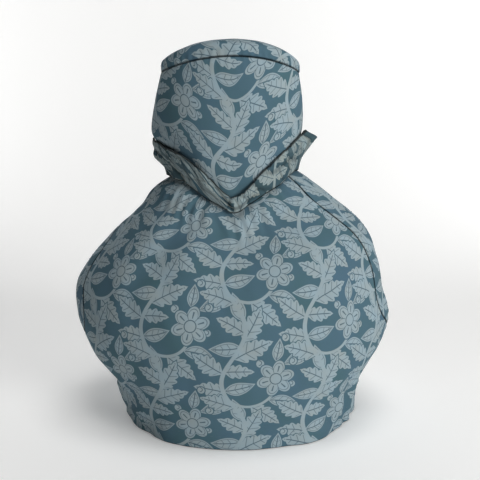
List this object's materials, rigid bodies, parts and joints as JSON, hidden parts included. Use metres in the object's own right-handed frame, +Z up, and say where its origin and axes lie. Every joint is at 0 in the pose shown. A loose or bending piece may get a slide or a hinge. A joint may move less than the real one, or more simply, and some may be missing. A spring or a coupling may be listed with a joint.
{
  "type": "fitted tea cosy with a bonnet",
  "caption": "Fitted cloth tea cosy: a hollow draped body with faced slits for spout and handle, a gathered neck collar and a bonnet with a domed crown.",
  "frame": {"origin": "on the surface it stands on, under the middle of the cosy", "axes": "+Z up, -Y towards the front, +X towards the handle's side"},
  "size_m": [0.1843, 0.156, 0.221],
  "materials": {
    "body_cloth": "matt printed cotton, slate blue ground with pale sage leaves",
    "facing_cloth": "matt printed cotton, slate blue ground with pale sage leaves",
    "collar_cloth": "matt printed cotton, gathered",
    "bonnet_cloth": "matt printed cotton, slate blue ground with pale sage leaves",
    "crown_cloth": "matt printed cotton, slate blue ground with pale sage leaves"
  },
  "bodies": {
    "root": {"body_front": "body_cloth", "body_back": "body_cloth", "spout_facing": "facing_cloth", "handle_facing": "facing_cloth", "neck_collar": "collar_cloth", "bonnet_front": "bonnet_cloth", "bonnet_back": "bonnet_cloth", "bonnet_crown": "crown_cloth"}
  },
  "joints": []
}
